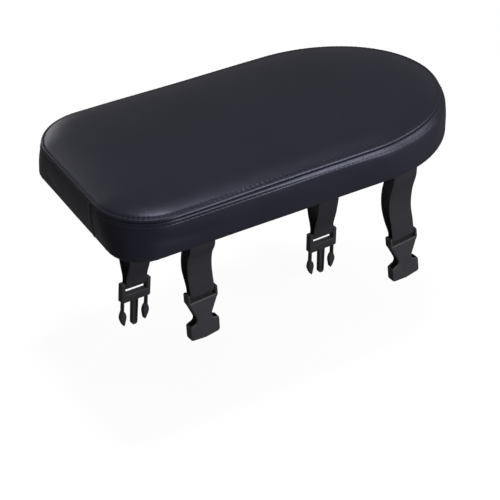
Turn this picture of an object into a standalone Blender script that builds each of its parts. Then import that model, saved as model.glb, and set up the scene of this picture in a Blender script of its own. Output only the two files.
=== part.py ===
"""Bicycle rear rack seat cushion with four hanging strap ends and side-release buckles.

Metres, +Z up. The origin is the centre of the flat underside that lies on the rack.
The straight front edge points to -X and the round rear edge to +X. The socket buckles
hang on the left side, at -Y, and the prong buckles on the right side, at +Y.
"""

import math

import bmesh
import bpy
from mathutils import Matrix, Vector

# Cushion seen from above. The board keeps the bottom edge square, and the foam rounds the seam.
LENGTH = 0.3704
WIDTH = 0.2082
BOTTOM_CORNER_RADIUS = 0.0342
SEAM_CORNER_RADIUS = 0.0528
BOTTOM_ROUND_END = 0.1092
SEAM_ROUND_END = 0.1210

# Cushion section, from the underside up.
LINING_THICKNESS = 0.0009
COVER_THICKNESS = 0.0012
BOARD_THICKNESS = 0.009
LAYER_GAP = 0.0003
SIDE_HEIGHT = 0.0356
BOTTOM_EDGE_RADIUS = 0.004
SIDE_BULGE = 0.0010
SEAM_PULL = 0.0012
RIDGE_WIDTH = 0.0030
RIDGE_HEIGHT = 0.0027
EDGE_DOME_HEIGHT = 0.0070
EDGE_DOME_REACH = 0.0115
MIDDLE_DOME_HEIGHT = 0.0015
HEM_WIDTH = 0.020
LINING_INSET = 0.013

# Straps: each end is a doubled length of webbing that hangs as a loop.
WEBBING_WIDTH = 0.0245
WEBBING_THICKNESS = 0.0014
TAIL_START = 0.030
TAIL_TURN = 0.0060
STRAP_INSET = 0.0321
LEAN_START = 0.010
CHANNEL_DEPTH = 0.0004
CHANNEL_CLEARANCE = 0.0012

# Buckles, sized from the webbing. Lengths are measured down from the bar's middle.
BAR_RADIUS = 0.0020
BAR_CLEARANCE = 0.0003
POST_CLEARANCE = 0.0005
BAR_SINK = 0.0010

PRONG_POST_WIDTH = 0.0042
PRONG_FRAME_DEPTH = 0.0070
PRONG_FRAME_CORNER = 0.0012
PRONG_FRAME_TOP = 0.0035
PRONG_BEAM_START = 0.0087
PRONG_BEAM_END = 0.0174
PRONG_REACH = 0.0275
PRONG_STEM_INSET = 0.0029
PRONG_STEM_WIDTH = 0.0020
PRONG_HEAD_START = 0.0105
PRONG_HEAD_MIDDLE = 0.0178
PRONG_DEPTH = 0.0046
BLADE_WIDTH = 0.0072
BLADE_DEPTH = 0.0050
BLADE_GROOVE = 0.0012
BLADE_GROOVE_WIDTH = 0.0032
BEAM_GROOVE_DEPTH = 0.0005
BEAM_GROOVE_WIDTH = 0.0008

SOCKET_POST_WIDTH = 0.0028
SOCKET_DEPTH = 0.0088
SOCKET_WALL = 0.0012
SOCKET_POST_TOP = 0.0025
SOCKET_BODY_START = 0.0056
SOCKET_WAIST = 0.0250
SOCKET_WAIST_SHARE = 0.50
SOCKET_NOTCH_RADIUS = 0.0040
SOCKET_SHOULDER = 0.0311
SOCKET_SHOULDER_RADIUS = 0.0020
SOCKET_LENGTH = 0.0470
SOCKET_MOUTH_INSET = 0.00025
SOCKET_MOUTH_CORNER = 0.0028
SOCKET_LIP = 0.0014
SOCKET_CAVITY_START = 0.0160
SOCKET_RIM_ROUND = 0.0013

EDGE_Z = LINING_THICKNESS + LAYER_GAP
SEAM_Z = EDGE_Z + SIDE_HEIGHT
BOARD_Z = EDGE_Z + COVER_THICKNESS + LAYER_GAP
BOARD_TOP_Z = BOARD_Z + BOARD_THICKNESS
STRAP_SPREAD = WIDTH / 2 - STRAP_INSET
HALF_SLOT = WEBBING_WIDTH / 2 + POST_CLEARANCE
FOLD_RADIUS = BAR_RADIUS + BAR_CLEARANCE + WEBBING_THICKNESS / 2
CLAMP_INSET = 0.027

# Each strap end: its place along the cushion, its side, the height of its buckle bar and how
# far the bar has drifted along the cushion, how many degrees the buckle leans and twists, and
# how far the outer and inner layers stand off the bar's plane, from the top down.
STRAP_ENDS = {
    "front_left": dict(
        x=-0.26755 * LENGTH,
        side=-1,
        bar_z=-0.0676,
        drift=-0.0031,
        lean=0.0,
        twist=4.5,
        outer=(0.0035, 0.0050, 0.0005, 0.0005, 0.0022),
        inner=(-0.0045, -0.0080, -0.0110, -0.0095, -0.0050),
    ),
    "rear_left": dict(
        x=0.30238 * LENGTH,
        side=-1,
        bar_z=-0.0843,
        drift=-0.0039,
        lean=-4.0,
        twist=3.5,
        outer=(0.0005, 0.0020, -0.0010, -0.0005, 0.0025),
        inner=(-0.0050, -0.0110, -0.0150, -0.0130, -0.0075),
    ),
    "front_right": dict(
        x=-0.28699 * LENGTH,
        side=1,
        bar_z=-0.1442,
        drift=0.0025,
        lean=7.5,
        twist=10.0,
        outer=(0.0030, 0.0095, 0.0135, 0.0130, 0.0080),
        inner=(-0.0040, -0.0090, -0.0125, -0.0115, -0.0070),
    ),
    "rear_right": dict(
        x=0.28564 * LENGTH,
        side=1,
        bar_z=-0.1633,
        drift=0.0010,
        lean=3.8,
        twist=6.5,
        outer=(0.0030, 0.0095, 0.0135, 0.0130, 0.0080),
        inner=(-0.0040, -0.0090, -0.0125, -0.0115, -0.0070),
    ),
}


def clear_scene():
    for obj in list(bpy.data.objects):
        bpy.data.objects.remove(obj, do_unlink=True)


def material(name, colour, roughness, metallic=0.0):
    made = bpy.data.materials.new(name)
    made.use_nodes = True
    shader = made.node_tree.nodes["Principled BSDF"]
    shader.inputs["Base Color"].default_value = (*colour, 1.0)
    shader.inputs["Roughness"].default_value = roughness
    shader.inputs["Metallic"].default_value = metallic
    made.diffuse_color = (*colour, 1.0)
    return made


def add_object(name, mesh, surface=None, location=(0.0, 0.0, 0.0), lean=0.0, twist=0.0):
    obj = bpy.data.objects.new(name, mesh)
    obj.location = location
    obj.rotation_euler = (0.0, math.radians(lean), math.radians(twist))
    bpy.context.scene.collection.objects.link(obj)
    if surface and not mesh.materials:
        mesh.materials.append(surface)
    return obj


def mesh_from(bm, name, smooth_angle=35):
    bmesh.ops.recalc_face_normals(bm, faces=bm.faces)
    mesh = bpy.data.meshes.new(name)
    bm.to_mesh(mesh)
    bm.free()
    mesh.shade_smooth()
    mesh.set_sharp_from_angle(angle=math.radians(smooth_angle))
    return mesh


def arc(centre, radius, start, end, steps):
    """Points on an arc in a plane, from one angle to another in degrees."""
    points = []
    for i in range(steps + 1):
        angle = math.radians(start + (end - start) * i / steps)
        points.append((centre[0] + radius * math.cos(angle), centre[1] + radius * math.sin(angle)))
    return points


def outline(inset, z):
    """The plan at a height, drawn in from its widest line, anticlockwise from the front left."""
    half_length = LENGTH / 2
    half_width = WIDTH / 2
    upright = max(0.0, min(1.0, (z - EDGE_Z) / SIDE_HEIGHT))
    corner = BOTTOM_CORNER_RADIUS + (SEAM_CORNER_RADIUS - BOTTOM_CORNER_RADIUS) * upright
    round_end = BOTTOM_ROUND_END + (SEAM_ROUND_END - BOTTOM_ROUND_END) * upright
    ellipse_x = half_length - round_end
    side_start = -half_length + corner
    points = []

    def side(start, end, y, steps):
        for i in range(1, steps):
            points.append((start + (end - start) * i / steps, y))

    points += arc((side_start, -half_width + corner), corner - inset, 180, 270, 8)
    side(side_start, ellipse_x, -half_width + inset, 3)
    for i in range(29):
        angle = math.radians(-90 + 180 * i / 28)
        normal = Vector((math.cos(angle) / round_end, math.sin(angle) / half_width)).normalized()
        x = ellipse_x + round_end * math.cos(angle) - normal.x * inset
        y = half_width * math.sin(angle) - normal.y * inset
        points.append((x, y))
    side(ellipse_x, side_start, half_width - inset, 3)
    points += arc((side_start, half_width - corner), corner - inset, 90, 180, 8)
    points.append((-half_length + inset, 0.0))
    return points


def ring(inset, z):
    """One line around the cushion. Past the edge zone it closes in on a line down the middle."""
    if inset <= CLAMP_INSET:
        return [(x, y, z) for x, y in outline(inset, z)]
    share = (inset - CLAMP_INSET) / (WIDTH / 2 - CLAMP_INSET)
    reach = LENGTH / 2 - WIDTH / 2
    made = []
    for x, y in outline(CLAMP_INSET, z):
        middle = max(-reach, min(reach, x))
        made.append((x + (middle - x) * share, y * (1 - share), z))
    return made


def loft(name, section, closed=False):
    """A solid swept round the cushion from its section, a list of insets and heights."""
    bm = bmesh.new()
    loops = [[bm.verts.new(point) for point in ring(inset, z)] for inset, z in section]
    count = len(loops[0])
    pairs = list(zip(loops, loops[1:]))
    if closed:
        pairs.append((loops[-1], loops[0]))
    for lower, upper in pairs:
        for i in range(count):
            j = (i + 1) % count
            bm.faces.new((lower[i], lower[j], upper[j], upper[i]))
    if not closed:
        bm.faces.new(loops[0])
        bm.faces.new(loops[-1])
    return mesh_from(bm, name)


def offset_line(points, distance):
    """The line moved sideways, to its left, by the same distance everywhere."""
    moved = []
    for i, point in enumerate(points):
        before = Vector(points[max(i - 1, 0)])
        after = Vector(points[min(i + 1, len(points) - 1)])
        here = Vector(point)
        first = (here - before) if i else (after - here)
        last = (after - here) if i < len(points) - 1 else first
        normals = [Vector((-step.y, step.x)).normalized() for step in (first, last)]
        middle = (normals[0] + normals[1]).normalized()
        moved.append(tuple(here + middle * distance / max(middle.dot(normals[0]), 0.5)))
    return moved


def side_section():
    """The side of the cover, from its bottom edge to the seam, as insets and heights."""
    corner_z = EDGE_Z + BOTTOM_EDGE_RADIUS
    rounding = arc((0.0, corner_z), BOTTOM_EDGE_RADIUS, -90, 0, 4)
    points = [(SIDE_BULGE + BOTTOM_EDGE_RADIUS - x, z) for x, z in rounding]
    steps = 6
    for i in range(1, steps + 1):
        share = i / steps
        bulge = SIDE_BULGE * (1 - math.sin(math.pi * share))
        inset = (SEAM_PULL - SIDE_BULGE) * share**8 + bulge
        points.append((inset, corner_z + (SEAM_Z - corner_z) * share))
    return points


def dome_height(inset):
    """How far the top stands above the seam at this inset."""
    across = max(inset - RIDGE_WIDTH, 0.0)
    edge = EDGE_DOME_HEIGHT * (1 - math.exp(-across / EDGE_DOME_REACH))
    middle = MIDDLE_DOME_HEIGHT * (1 - (1 - inset / (WIDTH / 2)) ** 2)
    return RIDGE_HEIGHT + edge + middle


def dome_section():
    """The top of the cover, from the seam to near the middle: a stitched ridge, then the dome."""
    points = [(SEAM_PULL, SEAM_Z), (0.3 * RIDGE_WIDTH, SEAM_Z + 0.4 * RIDGE_HEIGHT)]
    for inset in (RIDGE_WIDTH, 0.006, 0.009, 0.013, 0.018, 0.025, 0.037, 0.060, 0.085):
        points.append((inset, SEAM_Z + dome_height(inset)))
    return points


def inset_at(line, z):
    """Where a rising line of insets and heights crosses this height."""
    for (inset, low), (next_inset, high) in zip(line, line[1:]):
        if low <= z <= high:
            return inset + (next_inset - inset) * (z - low) / (high - low)
    return line[-1][0]


def cushion_meshes():
    """The cushion's five layers, all drawn from one outer section."""
    side = side_section()
    dome = dome_section()
    inside = COVER_THICKNESS + LAYER_GAP

    hem_end = (HEM_WIDTH, EDGE_Z)
    band = [hem_end] + side[:-1] + [(SEAM_PULL, SEAM_Z - LAYER_GAP / 2)]
    band_inner = offset_line(band, -COVER_THICKNESS)
    yield "cover_side_band", loft("cover_side_band", band + band_inner[::-1], closed=True)

    panel = [(SEAM_PULL, SEAM_Z + LAYER_GAP / 2)] + dome[1:]
    panel_inner = offset_line(panel, -COVER_THICKNESS)
    panel_inner[0] = (SEAM_PULL + COVER_THICKNESS, SEAM_Z + LAYER_GAP / 2)
    yield "cover_top_panel", loft("cover_top_panel", panel[::-1] + panel_inner)

    filling = offset_line([hem_end] + side + dome[1:], -inside)[1:]
    board = [point for point in filling if point[1] < BOARD_TOP_Z]
    board.append((inset_at(filling, BOARD_TOP_Z), BOARD_TOP_Z))
    yield "base_board", loft("base_board", board)

    foam_start = BOARD_TOP_Z + LAYER_GAP
    foam = [(inset_at(filling, foam_start), foam_start)]
    foam += [point for point in filling if point[1] > foam_start]
    yield "foam_pad", loft("foam_pad", foam)

    lining = [(LINING_INSET, 0.0), (LINING_INSET, LINING_THICKNESS)]
    yield "bottom_lining", loft("bottom_lining", lining)


def box_mesh(low, high):
    bm = bmesh.new()
    size = Vector(high) - Vector(low)
    matrix = Matrix.Translation((Vector(low) + Vector(high)) / 2) @ Matrix.Diagonal((*size, 1.0))
    bmesh.ops.create_cube(bm, size=1.0, matrix=matrix)
    return mesh_from(bm, "box")


def helper(mesh):
    """An object that only cuts another or joins it."""
    obj = add_object("helper", mesh)
    obj.hide_render = True
    obj.display_type = "WIRE"
    return obj


def combine(obj, meshes, operation):
    """The object's mesh with others cut from it or joined to it, and the helpers taken away again."""
    helpers = [helper(mesh) for mesh in meshes]
    for other in helpers:
        modifier = obj.modifiers.new(operation, "BOOLEAN")
        modifier.operation = operation
        modifier.solver = "EXACT"
        modifier.object = other
    graph = bpy.context.evaluated_depsgraph_get()
    mesh = bpy.data.meshes.new_from_object(obj.evaluated_get(graph))
    obj.modifiers.clear()
    obj.data = mesh
    for other in helpers:
        bpy.data.objects.remove(other, do_unlink=True)
    mesh.shade_smooth()
    mesh.set_sharp_from_angle(angle=math.radians(35))


def cut_channels(lining):
    """Shallow channels in the lining's underside, where the stapled straps press into it."""
    cutters = []
    half = WEBBING_WIDTH / 2 + CHANNEL_CLEARANCE
    for end in STRAP_ENDS.values():
        near = end["side"] * (TAIL_START - CHANNEL_CLEARANCE)
        far = end["side"] * WIDTH / 2
        low = (end["x"] - half, min(near, far), -0.002)
        high = (end["x"] + half, max(near, far), CHANNEL_DEPTH)
        cutters.append(box_mesh(low, high))
    combine(lining, cutters, "DIFFERENCE")


def smooth_line(points, steps):
    """A curve through the points, with the same number of steps between each two."""
    spans = [(after - before).length for before, after in zip(points, points[1:])]
    slopes = [(points[1] - points[0]) / spans[0]]
    for i in range(1, len(points) - 1):
        arriving = (points[i] - points[i - 1]) / spans[i - 1]
        leaving = (points[i + 1] - points[i]) / spans[i]
        slopes.append((arriving * spans[i] + leaving * spans[i - 1]) / (spans[i - 1] + spans[i]))
    slopes.append((points[-1] - points[-2]) / spans[-1])
    line = []
    for i, span in enumerate(spans):
        for step in range(steps):
            t = step / steps
            line.append(
                points[i] * (2 * t**3 - 3 * t**2 + 1)
                + slopes[i] * span * (t**3 - 2 * t**2 + t)
                + points[i + 1] * (3 * t**2 - 2 * t**3)
                + slopes[i + 1] * span * (t**3 - t**2)
            )
    return line + [points[-1]]


def strap_mesh(name, end):
    """One strap end: a flat tail of two layers, and the loop that hangs round the buckle's bar."""
    tail_z = CHANNEL_DEPTH - LAYER_GAP - WEBBING_THICKNESS / 2
    lower_z = tail_z - WEBBING_THICKNESS - LAYER_GAP
    bar_z = end["bar_z"]
    turn_z = tail_z - TAIL_TURN
    straight_z = bar_z + 0.0065

    def layer(stand_offs, start_z):
        corner_y = STRAP_SPREAD + stand_offs[0]
        turn = arc((corner_y - TAIL_TURN, start_z - TAIL_TURN), TAIL_TURN, 90, 0, 5)
        hanging = [Vector(turn[-1])]
        for stand_off, share in zip(stand_offs[1:], (0.22, 0.45, 0.70, 0.88)):
            hanging.append(Vector((STRAP_SPREAD + stand_off, turn_z + (straight_z - turn_z) * share)))
        side = math.copysign(FOLD_RADIUS, stand_offs[0])
        hanging.append(Vector((STRAP_SPREAD + side, straight_z)))
        hanging.append(Vector((STRAP_SPREAD + side, bar_z)))
        tail = [Vector((TAIL_START, start_z))]
        return tail + [Vector(point) for point in turn[:-1]] + smooth_line(hanging, 4)

    outer = layer(end["outer"], tail_z)
    inner = layer(end["inner"], lower_z)
    fold = [Vector(point) for point in arc((STRAP_SPREAD, bar_z), FOLD_RADIUS, 0, -180, 10)[1:-1]]
    middle = outer + fold + inner[::-1]
    left = offset_line(middle, WEBBING_THICKNESS / 2)
    right = offset_line(middle, -WEBBING_THICKNESS / 2)
    bm = bmesh.new()
    half = WEBBING_WIDTH / 2

    def hanging_place(x, y, z):
        above = z - bar_z
        upright = min(max((above - LEAN_START) / (turn_z - bar_z - LEAN_START), 0.0), 1.0)
        slack = 1 - upright * upright * (3 - 2 * upright)
        lean = Matrix.Rotation(math.radians(end["lean"]) * slack, 3, "Y")
        twist = Matrix.Rotation(math.radians(end["twist"]) * slack, 3, "Z")
        turned = twist @ lean @ Vector((x, end["side"] * (y - STRAP_SPREAD), above))
        bar = Vector((end["x"] + end["drift"] * slack, end["side"] * STRAP_SPREAD, bar_z))
        return bar + turned

    rows = []
    for x in (-half, half):
        rows.append([[bm.verts.new(hanging_place(x, y, z)) for y, z in line] for line in (left, right)])
    (first_left, first_right), (last_left, last_right) = rows
    for line, other in ((first_left, last_left), (first_right, last_right)):
        for i in range(len(line) - 1):
            bm.faces.new((line[i], line[i + 1], other[i + 1], other[i]))
    for line, other in ((first_left, first_right), (last_left, last_right)):
        for i in range(len(line) - 1):
            bm.faces.new((line[i], line[i + 1], other[i + 1], other[i]))
    for i in (0, -1):
        bm.faces.new((first_left[i], first_right[i], last_right[i], last_left[i]))
    return mesh_from(bm, name)


def plate(points, depth, bevel=0.0, segments=2):
    """A flat outline in X and Z, as deep in Y as asked, with its rim edges rounded."""
    bm = bmesh.new()
    face = bm.faces.new([bm.verts.new((x, -depth / 2, z)) for x, z in points])
    made = bmesh.ops.extrude_face_region(bm, geom=[face])
    moved = [item for item in made["geom"] if isinstance(item, bmesh.types.BMVert)]
    bmesh.ops.translate(bm, verts=moved, vec=(0.0, depth, 0.0))
    if bevel:
        rims = [edge for edge in bm.edges if abs(edge.verts[0].co.y - edge.verts[1].co.y) < 1e-6]
        bmesh.ops.bevel(
            bm, geom=rims, offset=bevel, segments=segments, profile=0.5, affect="EDGES", clamp_overlap=True
        )
    return mesh_from(bm, "plate")


def mirrored(points):
    """A right-hand outline, from top to bottom, closed by its mirror image on the left."""
    left = [(-x, z) for x, z in reversed(points) if abs(x) > 1e-7]
    return points + left


def bar_mesh(length, radius):
    bm = bmesh.new()
    turn = Matrix.Rotation(math.pi / 2, 4, "Y")
    bmesh.ops.create_cone(
        bm, cap_ends=True, segments=16, radius1=radius, radius2=radius, depth=length, matrix=turn
    )
    return mesh_from(bm, "bar")


def prong_buckle_mesh():
    """The inserting half: a framed slot with its bar, a centre blade and two springy side prongs."""
    outer = HALF_SLOT + PRONG_POST_WIDTH
    corner = PRONG_FRAME_CORNER
    beam_end = -PRONG_BEAM_END
    frame = [
        (HALF_SLOT, PRONG_FRAME_TOP),
        *arc((outer - corner, PRONG_FRAME_TOP - corner), corner, 90, 0, 3),
        (outer, beam_end + corner),
        (outer - corner, beam_end),
        (-outer + corner, beam_end),
        (-outer, beam_end + corner),
        *arc((-outer + corner, PRONG_FRAME_TOP - corner), corner, 180, 90, 3),
        (-HALF_SLOT, PRONG_FRAME_TOP),
        (-HALF_SLOT, -PRONG_BEAM_START),
        (HALF_SLOT, -PRONG_BEAM_START),
    ]
    body = add_object("prong_frame", plate(frame, PRONG_FRAME_DEPTH, corner / 2))

    stem_x = outer - PRONG_STEM_INSET
    stem_half = PRONG_STEM_WIDTH / 2
    root = beam_end + PRONG_STEM_WIDTH
    neck = beam_end - PRONG_HEAD_START
    widest = beam_end - PRONG_HEAD_MIDDLE
    tip = beam_end - PRONG_REACH
    side_prong = [
        (stem_x - stem_half, root),
        (stem_x - stem_half, neck),
        (stem_x - 0.0028, neck - 0.0022),
        (stem_x - 0.0040, widest + 0.0012),
        (stem_x - 0.0038, widest - 0.0018),
        (stem_x - 0.0024, tip + 0.0012),
        (stem_x - 0.0014, tip),
        (stem_x + 0.0006, tip + 0.0032),
        (stem_x + 0.0026, widest - 0.0018),
        (stem_x + 0.0030, widest + 0.0012),
        (stem_x + 0.0020, neck - 0.0022),
        (stem_x + stem_half, neck),
        (stem_x + stem_half, root),
    ]
    blade_half = BLADE_WIDTH / 2
    blade_tip = tip - 0.0014
    blade = mirrored(
        [
            (0.0, root),
            (blade_half, root),
            (blade_half - 0.0005, blade_tip + 0.0020),
            (blade_half - 0.0018, blade_tip),
            (0.0, blade_tip),
        ]
    )
    other_prong = [(-x, z) for x, z in reversed(side_prong)]
    pieces = [
        bar_mesh(2 * (HALF_SLOT + BAR_SINK), BAR_RADIUS),
        plate(side_prong, PRONG_DEPTH, 0.0005),
        plate(other_prong, PRONG_DEPTH, 0.0005),
        plate(blade, BLADE_DEPTH, 0.0005),
    ]
    combine(body, pieces, "UNION")

    def grooved(face_y, depth, low, high):
        """A groove cut from a front or back face, between two corners in X and Z."""
        out = math.copysign(0.001, face_y)
        inner = face_y - math.copysign(depth, face_y)
        near, far = sorted((inner, face_y + out))
        return box_mesh((low[0], near, low[1]), (high[0], far, high[1]))

    cuts = []
    blade_groove = BLADE_GROOVE_WIDTH / 2
    beam_groove = outer * 0.62
    for face in (-1, 1):
        low = (-blade_groove, blade_tip + 0.0035)
        high = (blade_groove, beam_end - 0.0012)
        cuts.append(grooved(face * BLADE_DEPTH / 2, BLADE_GROOVE, low, high))
        for z in (beam_end + 0.0022, beam_end + 0.0042):
            low = (-beam_groove, z - BEAM_GROOVE_WIDTH / 2)
            high = (beam_groove, z + BEAM_GROOVE_WIDTH / 2)
            cuts.append(grooved(face * PRONG_FRAME_DEPTH / 2, BEAM_GROOVE_DEPTH, low, high))
    combine(body, cuts, "DIFFERENCE")
    mesh = body.data
    bpy.data.objects.remove(body, do_unlink=True)
    return mesh


def socket_buckle_mesh():
    """The receiving half: two posts with the bar, a waisted body, and a wide mouth for the prongs."""
    outer = HALF_SLOT + SOCKET_POST_WIDTH
    post_corner = SOCKET_POST_WIDTH / 2
    waist = outer * SOCKET_WAIST_SHARE
    notch = SOCKET_NOTCH_RADIUS
    mouth_half = outer - SOCKET_MOUTH_INSET
    shoulder = SOCKET_SHOULDER_RADIUS
    mouth_corner = SOCKET_MOUTH_CORNER
    right = [
        (0.0, -SOCKET_BODY_START),
        (HALF_SLOT, -SOCKET_BODY_START),
        (HALF_SLOT, SOCKET_POST_TOP),
        *arc((outer - post_corner, SOCKET_POST_TOP - post_corner), post_corner, 90, 0, 3),
        (outer, -SOCKET_BODY_START - post_corner),
        (outer - 0.0016, -0.4 * SOCKET_WAIST),
        (waist + 0.0012, -SOCKET_WAIST + 0.0030),
        *arc((waist + notch, -SOCKET_WAIST - 0.0012), notch, 170, 265, 5),
        *arc((mouth_half - shoulder, -SOCKET_SHOULDER - shoulder), shoulder, 80, 0, 3),
        *arc((mouth_half - mouth_corner, -SOCKET_LENGTH + mouth_corner), mouth_corner, 0, -75, 4),
        (0.0, -SOCKET_LENGTH - SOCKET_LIP),
    ]
    body = add_object("socket_body", plate(mirrored(right), SOCKET_DEPTH, SOCKET_RIM_ROUND))
    combine(body, [bar_mesh(2 * (HALF_SLOT + BAR_SINK), BAR_RADIUS)], "UNION")

    room = mouth_half - SOCKET_WALL
    narrow = waist - SOCKET_WALL
    beyond = -SOCKET_LENGTH - 0.006
    cavity = mirrored(
        [
            (0.0, -SOCKET_CAVITY_START),
            (narrow, -SOCKET_CAVITY_START),
            (room, -SOCKET_WAIST - 0.0020),
            (room, beyond),
            (0.0, beyond),
        ]
    )
    combine(body, [plate(cavity, SOCKET_DEPTH - 2 * SOCKET_WALL)], "DIFFERENCE")
    mesh = body.data
    bpy.data.objects.remove(body, do_unlink=True)
    return mesh


def main():
    clear_scene()
    leather = material("black_leatherette", (0.026, 0.026, 0.034), 0.42)
    band_leather = material("black_leatherette_band", (0.018, 0.018, 0.026), 0.45)
    foam = material("grey_foam", (0.32, 0.32, 0.33), 0.95)
    wood = material("plywood", (0.52, 0.36, 0.20), 0.70)
    cloth = material("black_lining_cloth", (0.016, 0.016, 0.018), 0.95)
    webbing = material("black_webbing", (0.022, 0.021, 0.028), 0.85)
    plastic = material("black_moulded_plastic", (0.035, 0.034, 0.042), 0.48)

    surfaces = {
        "cover_side_band": band_leather,
        "cover_top_panel": leather,
        "base_board": wood,
        "foam_pad": foam,
        "bottom_lining": cloth,
    }
    for name, mesh in cushion_meshes():
        obj = add_object(name, mesh, surfaces[name])
        if name == "bottom_lining":
            cut_channels(obj)

    prong_mesh = prong_buckle_mesh()
    socket_mesh = socket_buckle_mesh()
    for mesh in (prong_mesh, socket_mesh):
        mesh.materials.clear()
        mesh.materials.append(plastic)
    for name, end in STRAP_ENDS.items():
        add_object(f"{name}_strap", strap_mesh(f"{name}_strap", end), webbing)
        bar = (end["x"] + end["drift"], end["side"] * STRAP_SPREAD, end["bar_z"])
        if end["side"] > 0:
            add_object(f"{name}_prong_buckle", prong_mesh, None, bar, end["lean"], end["twist"])
        else:
            add_object(f"{name}_socket_buckle", socket_mesh, None, bar, end["lean"], end["twist"])


main()
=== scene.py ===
import math

import bmesh
import bpy
from mathutils import Matrix, Vector, noise


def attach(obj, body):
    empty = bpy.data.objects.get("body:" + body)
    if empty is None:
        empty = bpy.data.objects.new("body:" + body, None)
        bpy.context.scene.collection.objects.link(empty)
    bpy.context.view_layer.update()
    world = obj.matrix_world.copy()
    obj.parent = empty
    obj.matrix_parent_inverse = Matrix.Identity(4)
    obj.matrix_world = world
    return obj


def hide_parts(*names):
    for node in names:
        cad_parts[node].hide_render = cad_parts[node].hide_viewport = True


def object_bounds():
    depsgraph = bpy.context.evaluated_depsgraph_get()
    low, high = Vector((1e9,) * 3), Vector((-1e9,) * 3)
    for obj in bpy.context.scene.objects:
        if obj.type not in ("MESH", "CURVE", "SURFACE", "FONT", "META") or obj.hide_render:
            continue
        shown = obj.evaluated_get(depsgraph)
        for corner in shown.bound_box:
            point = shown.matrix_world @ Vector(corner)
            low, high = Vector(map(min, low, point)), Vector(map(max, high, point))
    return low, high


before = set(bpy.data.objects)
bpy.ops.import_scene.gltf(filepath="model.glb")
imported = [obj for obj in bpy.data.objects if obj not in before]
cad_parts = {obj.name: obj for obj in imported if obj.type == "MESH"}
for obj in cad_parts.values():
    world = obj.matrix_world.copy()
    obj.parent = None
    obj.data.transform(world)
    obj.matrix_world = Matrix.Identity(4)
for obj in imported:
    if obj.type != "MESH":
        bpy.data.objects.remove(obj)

cad_low, cad_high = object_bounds()

# The view. The camera stands in front of the straight end's left corner, above the seat, with
# a long lens, as for the photograph. The floor and the sky are plain white to the camera, and
# the floor keeps a soft shadow.
scene = bpy.context.scene
scene.view_settings.view_transform = "Standard"

lens = bpy.data.cameras.new("camera")
lens.lens = 119.64
lens.sensor_width = 36.0
lens.clip_end = 20.0
camera = bpy.data.objects.new("camera", lens)
camera.location = (-0.60780, -1.14613, 0.78250)
camera.rotation_euler = [math.radians(angle) for angle in (55.663, 2.526, -29.122)]
scene.collection.objects.link(camera)
scene.camera = camera


class Pattern:
    """A value that varies over a surface. Sums and products of patterns add Math nodes."""

    def __init__(self, socket):
        self.socket = socket

    def node(self, kind, settings=None, inputs=None, take=0):
        """Another node of the same material: its settings first, then its sockets."""
        tree = self.socket.id_data
        node = tree.nodes.new("ShaderNode" + kind)
        for name, value in (settings or {}).items():
            if name == "stops":
                ramp = node.color_ramp.elements
                while len(ramp) < len(value):
                    ramp.new(1.0)
                for stop, (position, shade) in zip(ramp, value):
                    stop.position = position
                    stop.color = (*shade, 1.0)
            else:
                setattr(node, name, value)
        for name, value in (inputs or {}).items():
            if isinstance(value, Pattern):
                tree.links.new(value.socket, node.inputs[name])
            else:
                node.inputs[name].default_value = value
        return Pattern(node.outputs[take])

    def maths(self, operation, first, second=0.0):
        return self.node("Math", {"operation": operation}, {0: first, 1: second})

    def __add__(self, other):
        return self.maths("ADD", self, other)

    __radd__ = __add__

    def __sub__(self, other):
        return self.maths("SUBTRACT", self, other)

    def __rsub__(self, other):
        return self.maths("SUBTRACT", other, self)

    def __mul__(self, other):
        return self.maths("MULTIPLY", self, other)

    __rmul__ = __mul__

    def feed(self, socket):
        self.socket.id_data.links.new(self.socket, socket)


def colours(amount, *stops):
    """A colour that runs between stops as the amount goes from 0 to 1."""
    return amount.node("ValToRGB", {"stops": stops}, {"Fac": amount})


def white_to_camera(tree, surface, strength):
    """A glow that the camera sees as white, added to the surface. Seen only in reflections in the
    seat and the buckles, it is a painted reflection: a dim blue that is brightest in front of them."""
    rays = Pattern(tree.nodes.new("ShaderNodeLightPath").outputs["Is Camera Ray"])
    glossy = Pattern(rays.socket.node.outputs["Is Glossy Ray"])
    place = Pattern(tree.nodes.new("ShaderNodeTexCoord").outputs["Object"])
    glow_reach = 0.5
    ahead = place.node("SeparateXYZ", None, {0: place}, 1) * (-1.0 / glow_reach)
    dark = (0.0, 0.0, 0.0)
    # Painted reflection: a dim blue glow that only glossy rays see, brightest in front of the seat.
    painted_reflection_colour = colours(ahead, (0.2, dark), (0.74, (0.96, 1.0, 1.2)), (0.90, (0.58, 0.62, 0.80)))
    painted_reflection_strength = 0.16
    white = rays.node("Emission", None, {"Color": (1.0, 1.0, 1.0, 1.0), "Strength": rays * strength})
    painted_reflection = rays.node("Emission", None, {"Color": painted_reflection_colour, "Strength": glossy * painted_reflection_strength})
    glow = rays.node("AddShader", None, {0: white, 1: painted_reflection})
    return rays.node("AddShader", None, {0: surface, 1: glow})


floor_drop = 0.004
floor_reach = 6.0
bm = bmesh.new()
bmesh.ops.create_grid(bm, x_segments=1, y_segments=1, size=floor_reach)
bmesh.ops.translate(bm, verts=bm.verts, vec=(0.0, 0.0, cad_low.z - floor_drop))
floor_mesh = bpy.data.meshes.new("floor")
bm.to_mesh(floor_mesh)
bm.free()
floor = bpy.data.objects.new("floor", floor_mesh)
scene.collection.objects.link(floor)

paper = bpy.data.materials.new("white_paper")
paper.use_nodes = True
paper_shader = paper.node_tree.nodes["Principled BSDF"]
paper_shader.inputs["Base Color"].default_value = (0.16, 0.16, 0.16, 1.0)
paper_shader.inputs["Roughness"].default_value = 1.0
paper_shader.inputs["Specular IOR Level"].default_value = 0.0
paper_glow = 0.90
lit = white_to_camera(paper.node_tree, Pattern(paper_shader.outputs[0]), paper_glow)
lit.feed(paper.node_tree.nodes["Material Output"].inputs["Surface"])
floor_mesh.materials.append(paper)

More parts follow.
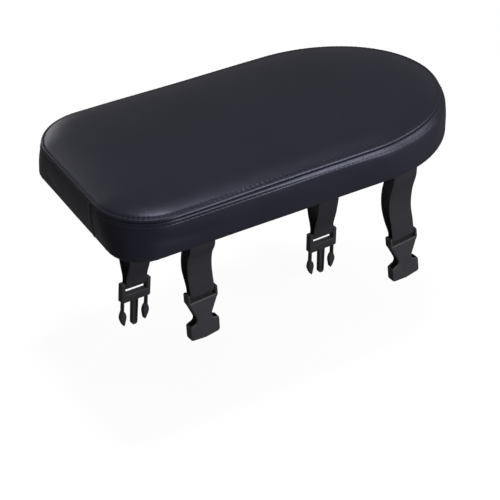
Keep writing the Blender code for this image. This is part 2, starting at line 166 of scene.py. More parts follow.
sky = bpy.data.worlds.new("sky")
sky.use_nodes = True
sky_glow = sky.node_tree.nodes["Background"]
sky_glow.inputs["Color"].default_value = (1.0, 1.0, 1.0, 1.0)
sky_rays = Pattern(sky.node_tree.nodes.new("ShaderNodeLightPath").outputs["Is Camera Ray"])
sky_light = 0.24
sky_more_to_camera = 0.78
(sky_rays * sky_more_to_camera + sky_light).feed(sky_glow.inputs["Strength"])
scene.world = sky


def soft_box(name, place, target, width, height, power):
    """A lamp behind a white cloth, aimed at a point."""
    lamp = bpy.data.lights.new(name, "AREA")
    lamp.shape = "RECTANGLE"
    lamp.size = width
    lamp.size_y = height
    lamp.energy = power
    box = bpy.data.objects.new(name, lamp)
    box.location = place
    box.rotation_mode = "QUATERNION"
    aim = Vector(target) - Vector(place)
    box.rotation_quaternion = aim.to_track_quat("-Z", "Y")
    scene.collection.objects.link(box)


soft_box("overhead_box", (-0.03, -0.17, 1.30), (-0.03, 0.0, 0.0), 0.34, 0.34, 9.0)
soft_box("front_box", (0.60, -1.38, 0.44), (0.0, 0.0, 0.0), 0.55, 0.45, 14.0)
soft_box("back_box", (-0.30, 1.45, 0.30), (0.0, 0.0, -0.05), 0.8, 0.5, 3.5)
soft_box("right_box", (1.32, -0.70, 0.42), (0.1, 0.0, 0.0), 0.45, 0.45, 4.6)


# The base board. A flat piece of plywood cut to the seat's outline carries the foam, and the
# cover, the lining and the straps are stapled to its underside. It never shows.
def surface(name, colour, roughness):
    """A new material with its shader and the place on the piece that its patterns read."""
    material = bpy.data.materials.new(name)
    material.use_nodes = True
    shader = material.node_tree.nodes["Principled BSDF"]
    shader.inputs["Base Color"].default_value = (*colour, 1.0)
    shader.inputs["Roughness"].default_value = roughness
    coordinates = material.node_tree.nodes.new("ShaderNodeTexCoord")
    return material, shader.inputs, coordinates.outputs


def clouds(place, scale, detail=3.0, roughness=0.5):
    """Soft noise, with about as many clumps to the metre as its scale."""
    sizes = {"Scale": scale, "Detail": detail, "Roughness": roughness}
    return place.node("TexNoise", None, {"Vector": place, **sizes})


def relief(height, depth):
    """A bump of this depth in metres."""
    return height.node("Bump", None, {"Height": height, "Distance": depth})


def plywood():
    material, shader, places = surface("plywood", (0.52, 0.36, 0.20), 0.7)
    place = Pattern(places["Object"])
    along_grain = place.node("Mapping", None, {"Vector": place, "Scale": (6.0, 90.0, 90.0)})
    grain = clouds(along_grain, 4.0, 6.0, 0.65)
    height = place.node("SeparateXYZ", None, {0: place}, 2)
    ply_thickness = 0.0018
    plies = height.maths("PINGPONG", height, ply_thickness) * (1.0 / ply_thickness)
    tone = grain * 0.7 + plies * 0.3
    wood = colours(tone, (0.25, (0.30, 0.19, 0.09)), (0.5, (0.52, 0.36, 0.20)), (0.8, (0.66, 0.49, 0.30)))
    wood.feed(shader["Base Color"])
    (0.6 + grain * 0.25).feed(shader["Roughness"])
    relief(grain, 0.0003).feed(shader["Normal"])
    return material


def dress(node, material):
    """A finish for a piece that keeps its CAD shape."""
    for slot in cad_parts[node].material_slots:
        slot.material = material


dress("base_board", plywood())


# The foam pad. A block of grey open-cell foam is cut to the board's outline and glued on it,
# and the cover pulls its upper edge round. It fills the cover to the seam and the crown.
cushion_length = 0.3704
cushion_width = 0.2082
bottom_corner = 0.0342
seam_corner = 0.0528
bottom_round_end = 0.1092
seam_round_end = 0.1210
edge_z = 0.0012
seam_z = 0.0368


def plan_line(corner, round_end):
    """Places and outward directions on the cushion's widest line, from the front middle round."""
    half_length = cushion_length / 2
    half_width = cushion_width / 2
    corner_steps = 60
    round_steps = 300
    line = [Vector((-half_length, 0.0, -1.0, 0.0))]
    for i in range(corner_steps + 1):
        angle = math.radians(180 + 90 * i / corner_steps)
        out = (math.cos(angle), math.sin(angle))
        x = corner - half_length + corner * out[0]
        y = corner - half_width + corner * out[1]
        line.append(Vector((x, y, *out)))
    for i in range(round_steps + 1):
        angle = math.radians(-90 + 90 * i / round_steps)
        out = Vector((math.cos(angle) / round_end, math.sin(angle) / half_width)).normalized()
        x = half_length + round_end * (math.cos(angle) - 1)
        line.append(Vector((x, half_width * math.sin(angle), *out)))
    return line + [Vector((x, -y, out_x, -out_y)) for x, y, out_x, out_y in reversed(line[:-1])]


def edge_walk(count):
    """Even steps along the seam, each with its places at the bottom edge and at the seam."""
    bottom = plan_line(bottom_corner, bottom_round_end)
    seam = plan_line(seam_corner, seam_round_end)
    reach = [0.0]
    for before, after in zip(seam, seam[1:]):
        reach.append(reach[-1] + (after.xy - before.xy).length)
    steps = []
    at = 0
    for i in range(count):
        wanted = reach[-1] * i / count
        while reach[at + 1] < wanted:
            at += 1
        share = (wanted - reach[at]) / (reach[at + 1] - reach[at])
        steps.append([line[at].lerp(line[at + 1], share) for line in (bottom, seam)])
    return steps, reach[-1]


def plan_at(step, height):
    """A step's place on the widest line and its outward direction at a height."""
    upright = max(0.0, min(1.0, (height - edge_z) / (seam_z - edge_z)))
    mixed = step[0].lerp(step[1], upright)
    return Vector(mixed[:2]), Vector(mixed[2:]).normalized()


def eased(value, start, reach):
    """A share that rises softly from 0 at the start to 1 at the end of the reach."""
    share = max(0.0, min(1.0, (value - start) / reach))
    return share * share * (3 - 2 * share)


def past_front(x):
    """A share that rises from the fuller front end, where the seam stands out and the crown is high."""
    return eased(x, -0.115, 0.10)


roll_height = 0.0050
roll_depth = 0.0017
round_end_more_height = 0.0028
round_end_more_depth = 0.0015


def rolled_in(x, inset, height):
    """How far the band's top and the seam roll inward. The roll grows toward the round end."""
    end = eased(x, 0.02, 0.12)
    reach = roll_height + round_end_more_height * end
    deep = past_front(x) * (roll_depth + round_end_more_depth * end)
    roll = max(0.0, min(1.0, (height - (seam_z - reach)) / reach))
    return deep * roll**1.3 * (1 - eased(inset, 0.005, 0.020))


edge_zone = 0.027


def drawn_in(step, inset, height):
    """A place over the cushion's plan. Past the edge zone, lines close in on its middle."""
    place, out = plan_at(step, height)
    near = place - out * min(inset + rolled_in(place.x, inset, height), edge_zone)
    if inset > edge_zone:
        share = (inset - edge_zone) / (cushion_width / 2 - edge_zone)
        reach = cushion_length / 2 - cushion_width / 2
        middle = max(-reach, min(reach, near.x))
        near = Vector((near.x + (middle - near.x) * share, near.y * (1 - share)))
    return Vector((near.x, near.y, height))


ridge_width = 0.0030
ridge_height = 0.0027
shoulder_height = 0.0070
shoulder_reach = 0.0115
middle_height = 0.0015


def crown_height(inset):
    """How far the crown stands above the seam, as the foam fills it."""
    shoulder = shoulder_height * (1 - math.exp(-max(inset - ridge_width, 0.0) / shoulder_reach))
    middle = middle_height * (1 - (1 - min(inset / (cushion_width / 2), 1.0)) ** 2)
    return ridge_height + shoulder + middle


def drawn_in_rings(count, rings, place_of, closed=True):
    """A mesh drawn ring by ring round the cushion to its middle. Its first ring may be closed."""
    bm = bmesh.new()
    index = bm.verts.layers.int.new("step")
    made = bmesh.ops.create_circle(bm, segments=count, radius=1.0)
    for vert in made["verts"]:
        turn = math.atan2(vert.co.y, vert.co.x) / (2 * math.pi)
        vert[index] = round(turn * count) % count
    loop = list(made["verts"])
    edges = list(bm.edges)
    for vert in loop:
        vert.co = place_of(vert[index], rings[0])
    if closed:
        bmesh.ops.contextual_create(bm, geom=edges)
    for ring in rings[1:]:
        made = bmesh.ops.extrude_edge_only(bm, edges=edges)["geom"]
        loop = [item for item in made if isinstance(item, bmesh.types.BMVert)]
        known = set(loop)
        joined = [item for item in made if isinstance(item, bmesh.types.BMEdge)]
        edges = [edge for edge in joined if set(edge.verts) <= known]
        for vert in loop:
            vert.co = place_of(vert[index], ring)
    bmesh.ops.remove_doubles(bm, verts=loop, dist=1e-5)
    bmesh.ops.recalc_face_normals(bm, faces=bm.faces)
    return bm


def mesh_piece(name, bm, material, smooth_angle=40):
    """A piece from its finished mesh, riding on the cushion."""
    mesh = bpy.data.meshes.new(name)
    bm.to_mesh(mesh)
    bm.free()
    mesh.shade_smooth()
    mesh.set_sharp_from_angle(angle=math.radians(smooth_angle))
    mesh.materials.append(material)
    piece = bpy.data.objects.new(name, mesh)
    scene.collection.objects.link(piece)
    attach(piece, "cushion")
    return piece


foam_count = 216
foam_under_cover = 0.0018
foam_steps = edge_walk(foam_count)[0]

# Each ring of the foam's section: its inset and height.
foam_rings = [
    (0.0030, 0.0120),
    (0.0024, 0.0126),
    (0.0020, 0.0160),
    (0.0021, 0.0240),
    (0.0028, 0.0308),
    (0.0042, 0.0348),
    (0.0056, 0.0382),
]
for inset in (0.0065, 0.009, 0.013, 0.018, 0.025, 0.037, 0.060, 0.085, cushion_width / 2):
    foam_rings.append((inset, seam_z + crown_height(inset) - foam_under_cover))


def open_cells():
    material, shader, places = surface("open_cell_foam", (0.32, 0.32, 0.33), 0.95)
    place = Pattern(places["Object"])
    cells = place.node("TexVoronoi", {"feature": "DISTANCE_TO_EDGE"}, {"Vector": place, "Scale": 700.0})
    walls = cells.maths("MINIMUM", cells * 4.0, 1.0)
    stains = clouds(place, 12.0)
    tone = walls * 0.3 + stains * 0.7
    colours(tone, (0.2, (0.20, 0.20, 0.21)), (0.7, (0.36, 0.36, 0.37))).feed(shader["Base Color"])
    relief(1 - walls, 0.0004).feed(shader["Normal"])
    return material


bm = drawn_in_rings(foam_count, foam_rings, lambda step, ring: drawn_in(foam_steps[step], *ring))
foam = mesh_piece("foam_block", bm, open_cells(), 70)
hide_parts("foam_pad")


# The cover. A top panel and a side band of smooth black leatherette are sewn together, turned,
# and topstitched on both sides of the seam, which makes a ridge in the top panel and a padded
# strip along the band. It is pulled tight over the foam and stapled under the board as a hem.
stitch_count = 216
steps_to_stitch = 4
cover_count = stitch_count * steps_to_stitch
cover_steps, edge_length = edge_walk(cover_count)
hem_width = 0.020
edge_round = 0.0040
band_bulge = 0.0010
seam_pull = 0.0012
lower_row = 0.877
upper_row_inset = 0.0038
needle_dip = 0.00016


def band_inset(share):
    """How far the band stands in from its widest line, from the bottom edge up to the seam."""
    rest = band_bulge * (1 - math.sin(math.pi * share))
    return rest + (seam_pull - band_bulge) * share**8


# Each ring of the cover's section: its inset and height, then how much it dips at the needle
# holes, how slack it lies, and how much it is gathered.
cover_rings = []
hem = ((hem_width, 0.2), (0.0165, 0.4), (0.0135, 0.8), (0.0110, 1.0), (0.0085, 0.9), (0.0065, 0.5))
for inset, gather in hem:
    cover_rings.append((inset, edge_z, 0.0, 0.0, gather))
for angle in range(-90, 1, 15):
    turn = math.radians(angle)
    inset = band_bulge + edge_round * (1 - math.cos(turn))
    height = edge_z + edge_round * (1 + math.sin(turn))
    cover_rings.append((inset, height, 0.0, 0.5 + angle / 180, 0.2))
band_start = edge_z + edge_round
for share in (0.05, 0.11, 0.18, 0.26, 0.34, 0.42, 0.50, 0.58, 0.66, 0.73, 0.79, 0.84):
    slack = min(0.5 + share * 4, 1.0, (0.90 - share) * 5)
    cover_rings.append((band_inset(share), band_start + (seam_z - band_start) * share, 0.0, slack, 0.0))
for share, proud, dip in (
    (0.862, 0.00005, 0.6),
    (0.870, -0.00030, 1.0),
    (lower_row, -0.00048, 1.0),
    (0.884, -0.00025, 1.0),
    (0.893, 0.00025, 0.8),
    (0.910, 0.00048, 0.5),
    (0.930, 0.00060, 0.3),
    (0.950, 0.00055, 0.2),
    (0.970, 0.00030, 0.1),
    (0.985, -0.00015, 0.0),
    (1.000, -0.00080, 0.0),
):
    height = band_start + (seam_z - band_start) * share
    cover_rings.append((band_inset(share) - proud, height, dip, 0.2, 0.0))
    if share == lower_row:
        lower_row_ring = cover_rings[-1]
for inset, rise, dip in (
    (0.00130, 0.00025, 0.0),
    (0.00095, 0.00065, 0.1),
    (0.00115, 0.00130, 0.1),
    (0.00150, 0.00200, 0.2),
    (0.00200, 0.00265, 0.3),
    (0.00260, 0.00300, 0.5),
    (0.00320, 0.00292, 0.8),
    (upper_row_inset, 0.00250, 1.0),
    (0.00435, 0.00292, 1.0),
    (0.00500, 0.00365, 0.7),
    (0.00580, 0.00435, 0.4),
):
    cover_rings.append((inset, seam_z + rise, dip, 0.0, 0.0))
    if inset == upper_row_inset:
        upper_row_ring = cover_rings[-1]
for inset in (0.0068, 0.0080, 0.0095, 0.0115, 0.0140, 0.0170, 0.0205, 0.0245):
    cover_rings.append((inset, seam_z + crown_height(inset), 0.0, 0.3, 0.0))
for inset in (0.030, 0.037, 0.046, 0.057, 0.070, 0.085, cushion_width / 2):
    cover_rings.append((inset, seam_z + crown_height(inset), 0.0, 0.5, 0.0))

# Creases of the band: from one place to another, their width and their depth.
creases = [
    (Vector((-0.162, -0.103, 0.0225)), Vector((-0.100, -0.1040, 0.0150)), 0.0050, 0.0013),
    (Vector((-0.176, -0.090, 0.0120)), Vector((-0.150, -0.1035, 0.0280)), 0.0045, 0.0005),
    (Vector((-0.185, 0.030, 0.0100)), Vector((-0.180, 0.075, 0.0260)), 0.0050, 0.0004),
    (Vector((0.120, -0.090, 0.0110)), Vector((0.160, -0.065, 0.0230)), 0.0060, 0.0005),
    (Vector((0.090, 0.100, 0.0240)), Vector((0.150, 0.075, 0.0120)), 0.0060, 0.0005),
]


def bump(value, middle, width):
    """A share that is 1 at the middle and fades out to both sides."""
    return math.exp(-(((value - middle) / width) ** 2))


def crease_depth(place):
    """How deep the creases of the band are at this place."""
    depth = 0.0
    for start, end, width, deep in creases:
        along = end - start
        share = max(0.0, min(1.0, (place - start).dot(along) / along.length_squared))
        away = (place - start - along * share).length
        depth += deep * bump(away, 0.0, width) * math.sin(math.pi * (0.15 + 0.7 * share))
    return depth


def section_out(ring):
    """Which way the cover faces at a ring, as parts outward and upward."""
    i = cover_rings.index(ring)
    before = cover_rings[max(i - 1, 0)]
    after = cover_rings[min(i + 1, len(cover_rings) - 1)]
    inward = after[0] - before[0]
    rise = after[1] - before[1]
    length = math.hypot(inward, rise)
    return rise / length, inward / length


cover_facing = {ring: section_out(ring) for ring in cover_rings}
shoulder_drop = 0.0016
row_fill = 0.00060


def settled(inset):
    """How far the crown's shoulder and its needle row rise away from the front end."""
    past = max(inset - upper_row_inset, 0.0)
    dropped = shoulder_drop * (1 - math.exp(-past / 0.0030)) * math.exp(-past / 0.020)
    return row_fill * bump(inset, 0.0040, 0.0007) - dropped


def plain_band(x):
    """How little the band's needle row shows. It sinks in only along the sides behind the front corners."""
    return 0.9 * max(eased(x, -0.080, 0.09), 1 - eased(x, -0.150, 0.03))


join_y = -0.0450
join_depth = 0.0006
join_lip = 0.0003


def joined_band(y):
    """How far the band stands out beside the join across the front end."""
    off_join = y - join_y
    return join_lip * bump(off_join, 0.0030, 0.0020) - join_depth * bump(off_join, 0.0, 0.0011)


fold_spacing = 0.0085
fold_depth = 0.0008


def gathered(step, x, y):
    """How deep the hem's folds are. They lie where the edge curves."""
    at_corner = x < -0.142 and abs(y) > 0.060
    curve = 1.0 if at_corner else 0.6 * (x > 0.080)
    along = edge_length * step / cover_count
    wander = 2.0 * noise.noise(Vector((x, y, 0.0)) * 30.0)
    fold = abs(math.sin(math.pi * along / fold_spacing + wander))
    return fold_depth * curve * (1 - fold) ** 2


needle_rows_start = 0.85
needle_rows_end = 0.99
slack_wave = 0.00045
small_wave = 0.00020


def on_cover(step, ring):
    """A place on the finished cover, with its puckers, slackness, creases and gathers."""
    inset, height, dip, slack, gather = ring
    walk = cover_steps[step % cover_count]
    share = (height - band_start) / (seam_z - band_start)
    if needle_rows_start < share < needle_rows_end:
        plain = plain_band(walk[1].x)
        inset += (band_inset(share) - inset) * plain
        dip *= 1 - plain
    place = drawn_in(walk, inset, height)
    (x, y), outward = plan_at(walk, height)
    out, up = cover_facing[ring]
    facing = Vector((outward.x * out, outward.y * out, up))
    give = -dip * needle_dip * math.cos(2 * math.pi * step / steps_to_stitch)
    if height > seam_z + 0.002:
        place.z += past_front(x) * settled(inset)
    wave = slack_wave * noise.noise(place * 20.0) + small_wave * noise.noise(place * 47.0)
    give += slack * wave
    if edge_z + edge_round < height < seam_z - 0.001:
        give -= slack * crease_depth(place)
    if edge_z < height < seam_z and x < -cushion_length / 2 + 1e-4:
        give += joined_band(y)
    if gather:
        give += gather * gathered(step, x, y)
    return place + facing * give


def leatherette():
    material, shader, places = surface("black_leatherette", (0.011, 0.011, 0.019), 0.36)
    shader["Specular Tint"].default_value = (0.74, 0.77, 1.0, 1.0)
    place = Pattern(places["Object"])
    wander = place.node("TexNoise", None, {"Vector": place, "Scale": 260.0, "Detail": 2.0}, "Color")
    off = wander.node("VectorMath", {"operation": "SCALE"}, {0: wander, "Scale": 0.0016})
    bent = off.node("VectorMath", {"operation": "ADD"}, {0: place, 1: off})
    cells = bent.node("TexVoronoi", {"feature": "DISTANCE_TO_EDGE"}, {"Vector": bent, "Scale": 950.0})
    pebbles = cells.maths("MINIMUM", cells * 3.5, 1.0)
    pores = clouds(place, 3200.0, 2.0)
    mottling = clouds(place, 16.0, 3.0, 0.6)
    tone = mottling * 0.7 + pebbles * 0.3
    colours(tone, (0.25, (0.007, 0.007, 0.013)), (0.75, (0.011, 0.011, 0.019))).feed(shader["Base Color"])
    (0.28 + mottling * 0.10 + (1 - pebbles) * 0.08).feed(shader["Roughness"])
    relief(pebbles * 0.8 + pores * 0.2, 0.00004).feed(shader["Normal"])
    return material


cover = mesh_piece("cover", drawn_in_rings(cover_count, cover_rings, on_cover), leatherette(), 70)
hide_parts("cover_top_panel", "cover_side_band")


# The seam's thread. Two rows of bonded black thread hold the seam open and flat: one in the
# top panel inside the ridge, and one in the band under the seam.
stitch_shape = (0.0019, 0.00036, 0.00030)
thread_lift = 0.00012


def thread_row(bm, ring):
    """A row of stitches, each lying between two needle holes of a ring of the cover."""
    out, up = cover_facing[ring]
    for stitch in range(stitch_count):
        middle = stitch * steps_to_stitch + steps_to_stitch // 2
        here = (on_cover(middle - 1, ring) + on_cover(middle + 1, ring)) / 2
        along = (on_cover(middle + 1, ring) - on_cover(middle - 1, ring)).normalized()
        away = plan_at(cover_steps[middle % cover_count], ring[1])[1]
        facing = Vector((away.x * out, away.y * out, up)).normalized()
        across = facing.cross(along)
        turn = Matrix((along, across, facing)).transposed().to_4x4()
        shape = Matrix.Diagonal((*stitch_shape, 1.0))
        place = Matrix.Translation(here + facing * thread_lift) @ turn @ shape
        bmesh.ops.create_uvsphere(bm, u_segments=8, v_segments=5, radius=1.0, matrix=place)


def bonded_thread():
    material, shader, places = surface("bonded_thread", (0.011, 0.011, 0.015), 0.6)
    place = Pattern(places["Object"])
    strands = clouds(place, 2400.0, 2.0)
    colours(strands, (0.3, (0.007, 0.007, 0.010)), (0.7, (0.016, 0.016, 0.022))).feed(shader["Base Color"])
    (0.52 + strands * 0.2).feed(shader["Roughness"])
    relief(strands, 0.00010).feed(shader["Normal"])
    return material


bm = bmesh.new()
thread_row(bm, upper_row_ring)
thread_row(bm, lower_row_ring)
bmesh.ops.recalc_face_normals(bm, faces=bm.faces)
seam_thread = mesh_piece("seam_thread", bm, bonded_thread())


# The lining. A sheet of black non-woven cloth is cut smaller than the underside, pulled flat
# over the hem and stapled round its edge, so it sags a little between the staples.
lining_inset = 0.013
lining_thickness = 0.0005
lining_z = 0.0003
staple_pitch = 0.0285
lining_count = 432
lining_steps, lining_edge = edge_walk(lining_count)
staple_count = round(lining_edge / staple_pitch)
scallop = 0.0007
sag_between_staples = 0.0005
ripple = 0.00025
lining_rings = [lining_inset, 0.0140, 0.0155, 0.0175, 0.0200, 0.0240, 0.0290]
lining_rings += [0.037, 0.050, 0.066, 0.085, cushion_width / 2]


def on_lining(step, inset):
    """A place on the lining's underside, pulled up at the staples."""
    wave = 0.5 - 0.5 * math.cos(2 * math.pi * staple_count * step / lining_count)
    near_edge = max(0.0, 1 - (inset - lining_inset) / 0.012)
    place = drawn_in(lining_steps[step], inset + scallop * wave * near_edge, lining_z)
    place.z -= sag_between_staples * wave * near_edge
    place.z += ripple * noise.noise(place * 30.0) * (1 - near_edge)
    return place


bm = drawn_in_rings(lining_count, lining_rings, on_lining, closed=False)
if sum(face.normal.z * face.calc_area() for face in bm.faces) > 0:
    bmesh.ops.reverse_faces(bm, faces=bm.faces)


def lining_cloth():
    material, shader, places = surface("black_lining_cloth", (0.018, 0.018, 0.020), 0.92)
    place = Pattern(places["Object"])
    fibres = clouds(place, 900.0, 5.0, 0.7)
    dimples = place.node("TexVoronoi", None, {"Vector": place, "Scale": 420.0, "Randomness": 0.25})
    pressed = dimples.maths("MINIMUM", dimples * 2.2, 1.0)
    tone = fibres * 0.7 + pressed * 0.3
    colours(tone, (0.25, (0.010, 0.010, 0.012)), (0.75, (0.028, 0.028, 0.031))).feed(shader["Base Color"])
    (0.80 + fibres * 0.15).feed(shader["Roughness"])
    relief(fibres * 0.5 + pressed * 0.5, 0.00020).feed(shader["Normal"])
    return material


lining = mesh_piece("lining", bm, lining_cloth())
cloth = lining.modifiers.new("thickness", "SOLIDIFY")
cloth.thickness = lining_thickness
cloth.offset = -1.0
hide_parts("bottom_lining")
half_length = cushion_length / 2 - lining_inset
half_width = cushion_width / 2 - lining_inset
round_length = bottom_round_end - lining_inset
corner = bottom_corner - lining_inset
lining_area = 2 * half_width * (2 * half_length - round_length)
lining_area += math.pi * half_width * round_length / 2 - (2 - math.pi / 2) * corner**2


# The straps. Four lengths of black 25 mm webbing are each folded round a buckle's bar, and
# both layers are stapled under the board as a flat tail. They hang as slack loops.
webbing_width = 0.0245
webbing_thickness = 0.0014
tail_start = 0.030
tail_turn = 0.0060
tail_z = -0.0006
lower_tail_z = -0.0023
strap_spread = 0.072
fold_radius = 0.0030
lean_start = 0.010
straight_run = 0.0065

# Each strap: its place along the seat, its side, the height of its bar and how far the bar has
# drifted along the seat, how many degrees the buckle leans and twists, and how far the outer
# and inner layers stand off, from the top down.
wide_outer = (3.0, 9.5, 13.5, 13.0, 8.0)
wide_inner = (-4.0, -9.0, -12.5, -11.5, -7.0)
straps = {
    "front_left": (
        (-0.0991, -1, -0.0676, -0.0031, 0.0, 4.5),
        (3.5, 5.0, 0.5, 0.5, 2.2),
        (-4.5, -8.0, -11.0, -9.5, -5.0),
    ),
    "rear_left": (
        (0.1120, -1, -0.0843, -0.0039, -4.0, 3.5),
        (0.5, 2.0, -1.0, -0.5, 2.5),
        (-5.0, -11.0, -15.0, -13.0, -7.5),
    ),
    "front_right": ((-0.1063, 1, -0.1442, 0.0025, 7.5, 10.0), wide_outer, wide_inner),
    "rear_right": ((0.1058, 1, -0.1633, 0.0010, 3.8, 6.5), wide_outer, wide_inner),
}


def arc(centre, radius, start, end, steps):
    """Points on an arc between two angles in degrees."""
    points = []
    for i in range(steps + 1):
        angle = math.radians(start + (end - start) * i / steps)
        points.append(Vector((centre[0] + radius * math.cos(angle), centre[1] + radius * math.sin(angle))))
    return points


def hanging_curve(points, steps):
    """A smooth curve through the points."""
    spans = [(after - before).length for before, after in zip(points, points[1:])]
    slopes = [(points[1] - points[0]) / spans[0]]
    for i in range(1, len(points) - 1):
        arriving = (points[i] - points[i - 1]) / spans[i - 1]
        leaving = (points[i + 1] - points[i]) / spans[i]
        slopes.append((arriving * spans[i] + leaving * spans[i - 1]) / (spans[i - 1] + spans[i]))
    slopes.append((points[-1] - points[-2]) / spans[-1])
    line = []
    for i, span in enumerate(spans):
        for step in range(steps):
            t = step / steps
            line.append(
                points[i] * (2 * t**3 - 3 * t**2 + 1)
                + slopes[i] * span * (t**3 - 2 * t**2 + t)
                + points[i + 1] * (3 * t**2 - 2 * t**3)
                + slopes[i + 1] * span * (t**3 - t**2)
            )
    return line + [points[-1]]


def strap_path(bar_z, outer, inner):
    """The middle line of one strap, seen from its edge: tail, loop round the bar, and tail."""
    turn_z = tail_z - tail_turn

    def layer(stand_offs, start_z):
        """One layer of the loop, from its tail down to the bar."""
        stand_offs = [stand_off / 1000 for stand_off in stand_offs]
        corner_y = strap_spread + stand_offs[0]
        turn = arc((corner_y - tail_turn, start_z - tail_turn), tail_turn, 90, 0, 12)
        low_z = bar_z + straight_run
        hanging = [turn[-1]]
        for stand_off, share in zip(stand_offs[1:], (0.22, 0.45, 0.70, 0.88)):
            hanging.append(Vector((strap_spread + stand_off, turn_z + (low_z - turn_z) * share)))
        side = math.copysign(fold_radius, stand_offs[0])
        hanging.append(Vector((strap_spread + side, low_z)))
        hanging.append(Vector((strap_spread + side, bar_z)))
        return [Vector((tail_start, start_z))] + turn[:-1] + hanging_curve(hanging, 12)

    fold = arc((strap_spread, bar_z), fold_radius, 0, -180, 16)[1:-1]
    return layer(outer, tail_z) + fold + layer(inner, lower_tail_z)[::-1]


row_length = 0.0015
selvedge = 0.0012
selvedge_thinning = 0.75


def strap_webbing(name, hang, outer, inner):
    """A flat length of webbing with rounded selvedges, bent along its path."""
    x, side, bar_z, drift, lean, twist = hang
    path = strap_path(bar_z, outer, inner)
    reach = [0.0]
    for before, after in zip(path, path[1:]):
        reach.append(reach[-1] + (after - before).length)
    length = reach[-1]
    bm = bmesh.new()
    rows = round(length / row_length)
    flat = Matrix.Diagonal((webbing_width / 2, length / 2, 1.0, 1.0))
    bmesh.ops.create_grid(bm, x_segments=14, y_segments=rows, size=1.0, matrix=flat)
    bmesh.ops.solidify(bm, geom=bm.faces[:], thickness=webbing_thickness)
    middle = sum(vert.co.z for vert in bm.verts) / len(bm.verts)
    bmesh.ops.translate(bm, verts=bm.verts, vec=(0.0, length / 2, -middle))
    weave_map = bm.loops.layers.uv.new("weave")
    for face in bm.faces:
        for loop in face.loops:
            loop[weave_map].uv = (loop.vert.co.x, loop.vert.co.y)
    turn_z = tail_z - tail_turn
    half = webbing_width / 2
    at = 0
    for vert in sorted(bm.verts, key=lambda vert: vert.co.y):
        across, along, thick = vert.co
        while at < len(reach) - 2 and reach[at + 1] < along:
            at += 1
        share = (along - reach[at]) / (reach[at + 1] - reach[at])
        here = path[at].lerp(path[at + 1], share)
        heading = (path[at + 1] - path[at]).normalized()
        edge = max(0.0, (abs(across) - half + selvedge) / selvedge)
        thick *= math.sqrt(max(1 - selvedge_thinning * edge**2, 0.0))
        out = Vector((-heading.y, heading.x)) * thick
        y, z = here + out
        above = z - bar_z
        slack = 1 - eased(above, lean_start, turn_z - bar_z - lean_start)
        twisted = Matrix.Rotation(math.radians(twist) * slack, 3, "Z")
        turn = twisted @ Matrix.Rotation(math.radians(lean) * slack, 3, "Y")
        loose = math.sin(math.pi * min(max(above / (turn_z - bar_z), 0.0), 1.0))
        across += 0.0005 * loose * noise.noise(Vector((x * 50, along * 25.0, 0.0)))
        y += 0.0004 * loose * noise.noise(Vector((across * 60, along * 45.0, x * 70)))
        bar = Vector((x + drift * slack, side * strap_spread, bar_z))
        vert.co = bar + turn @ Vector((across, side * (y - strap_spread), above))
    bmesh.ops.recalc_face_normals(bm, faces=bm.faces)
    piece = mesh_piece(name, bm, webbing)
    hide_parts(f"{name}_strap")


def woven_webbing():
    material, shader, places = surface("black_webbing", (0.022, 0.021, 0.027), 0.8)
    weave = Pattern(places["UV"])
    across = weave.node("SeparateXYZ", None, {0: weave}, 0)
    along = weave.node("SeparateXYZ", None, {0: weave}, 1)
    rib_width = 0.00110
    pick_length = 0.00150
    ribs = across.maths("SINE", across * (2 * math.pi / rib_width))
    picks = along.maths("SINE", along * (2 * math.pi / pick_length))
    knots_and_valley_shade = ribs * picks * 0.5 + 0.5
    fuzz = clouds(Pattern(places["Object"]), 1800.0, 3.0, 0.6)
    # The colour is darker where the weave lies low: painted shade in the valleys between the knots.
    tone = knots_and_valley_shade * 0.6 + fuzz * 0.4
    colours(tone, (0.2, (0.008, 0.008, 0.012)), (0.8, (0.023, 0.022, 0.031))).feed(shader["Base Color"])
    (0.70 + fuzz * 0.25).feed(shader["Roughness"])
    relief(knots_and_valley_shade * 0.8 + fuzz * 0.2, 0.00018).feed(shader["Normal"])
    return material


webbing = woven_webbing()
for name, strap in straps.items():
    strap_webbing(name, *strap)


# The staples. Fine steel staples hold the lining and the hem to the board, and a row of four
# holds each strap's tail.
staple_crown = (0.0100, 0.0011, 0.0006)
leg_out = 0.0004
leg_up = 0.0012


def staple(bm, place, angle):
    """A staple's crown with its legs bent up into the board."""
    turn = Matrix.Translation(place) @ Matrix.Rotation(angle, 4, "Z")
    crown = turn @ Matrix.Diagonal((*staple_crown, 1.0))
    made = bmesh.ops.create_cube(bm, size=1.0, matrix=crown)
    lengthways = turn.to_3x3().col[0]
    sides = [face for face in bm.faces if face.verts[0] in made["verts"]]
    for end in [face for face in sides if abs(face.normal.dot(lengthways)) > 0.9]:
        leg = bmesh.ops.extrude_discrete_faces(bm, faces=[end])["faces"][0]
        bmesh.ops.translate(bm, verts=leg.verts, vec=leg.normal * leg_out + Vector((0, 0, leg_up)))


def steel():
    material, shader, places = surface("staple_steel", (0.50, 0.50, 0.52), 0.35)
    shader["Metallic"].default_value = 1.0
    place = Pattern(places["Object"])
    drawn = clouds(place, 1500.0, 2.0)
    (0.28 + drawn * 0.2).feed(shader["Roughness"])
    relief(drawn, 0.00003).feed(shader["Normal"])
    return material


staple_inset = lining_inset + 0.0035
half_crown = staple_crown[2] / 2
tail_staple_start = 0.036
tail_staple_pitch = 0.009


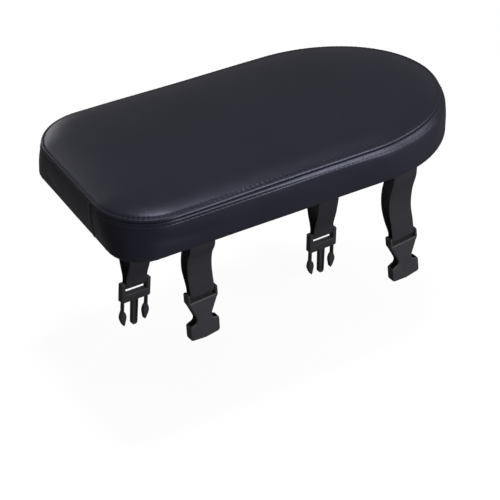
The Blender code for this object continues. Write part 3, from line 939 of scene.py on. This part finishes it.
def on_strap(place):
    """Whether a staple round the lining's edge would sit on a strap."""
    near = [abs(place.x - hang[0]) < 0.020 for hang, outer, inner in straps.values()]
    return any(near) and abs(place.y) > 0.05


bm = bmesh.new()
for i in range(staple_count):
    step = round(lining_count * i / staple_count) % lining_count
    place = on_lining(step, staple_inset) - Vector((0.0, 0.0, half_crown))
    if not on_strap(place):
        out = plan_at(lining_steps[step], 0.0)[1]
        staple(bm, place, math.atan2(out.x, -out.y) + 0.18 * noise.noise(place * 300.0))
for hang, outer, inner in straps.values():
    for i in range(4):
        y = hang[1] * (tail_staple_start + tail_staple_pitch * i)
        place = Vector((hang[0], y, lower_tail_z - webbing_thickness / 2 - half_crown))
        place.x += 0.003 * noise.noise(place * 200.0)
        staple(bm, place, 0.10 * noise.noise(place * 300.0))
bmesh.ops.recalc_face_normals(bm, faces=bm.faces)
mesh_piece("staples", bm, steel(), 30)


# The buckles. Each is one black acetal moulding with a fine matt texture: on the left the
# receiving halves with their wide mouths, on the right the halves with prongs and a blade.
mould_line = 0.00010


def moulded_plastic(name, hang):
    """Plastic with the fine line that the mould's two halves leave round a buckle's middle."""
    x, side, _, drift, _, twist = hang
    turn = math.radians(twist)
    material, shader, places = surface(f"{name}_plastic", (0.030, 0.029, 0.036), 0.48)
    place = Pattern(places["Object"])
    texture = clouds(place, 2600.0, 3.0, 0.6)
    flow = clouds(place, 60.0, 2.0)
    along = place.node("SeparateXYZ", None, {0: place}, 0) - (x + drift)
    across = place.node("SeparateXYZ", None, {0: place}, 1) - side * strap_spread
    off_middle = across * math.cos(turn) - along * math.sin(turn)
    line = off_middle.maths("LESS_THAN", off_middle.maths("ABSOLUTE", off_middle), mould_line)
    tone = texture * 0.4 + flow * 0.6
    colours(tone, (0.3, (0.024, 0.023, 0.029)), (0.7, (0.036, 0.035, 0.043))).feed(shader["Base Color"])
    (0.42 + texture * 0.16).feed(shader["Roughness"])
    relief(texture * 0.4 + line * 0.6, 0.00008).feed(shader["Normal"])
    return material


for name, (hang, outer, inner) in straps.items():
    half = "socket" if hang[1] < 0 else "prong"
    dress(f"{name}_{half}_buckle", moulded_plastic(name, hang))
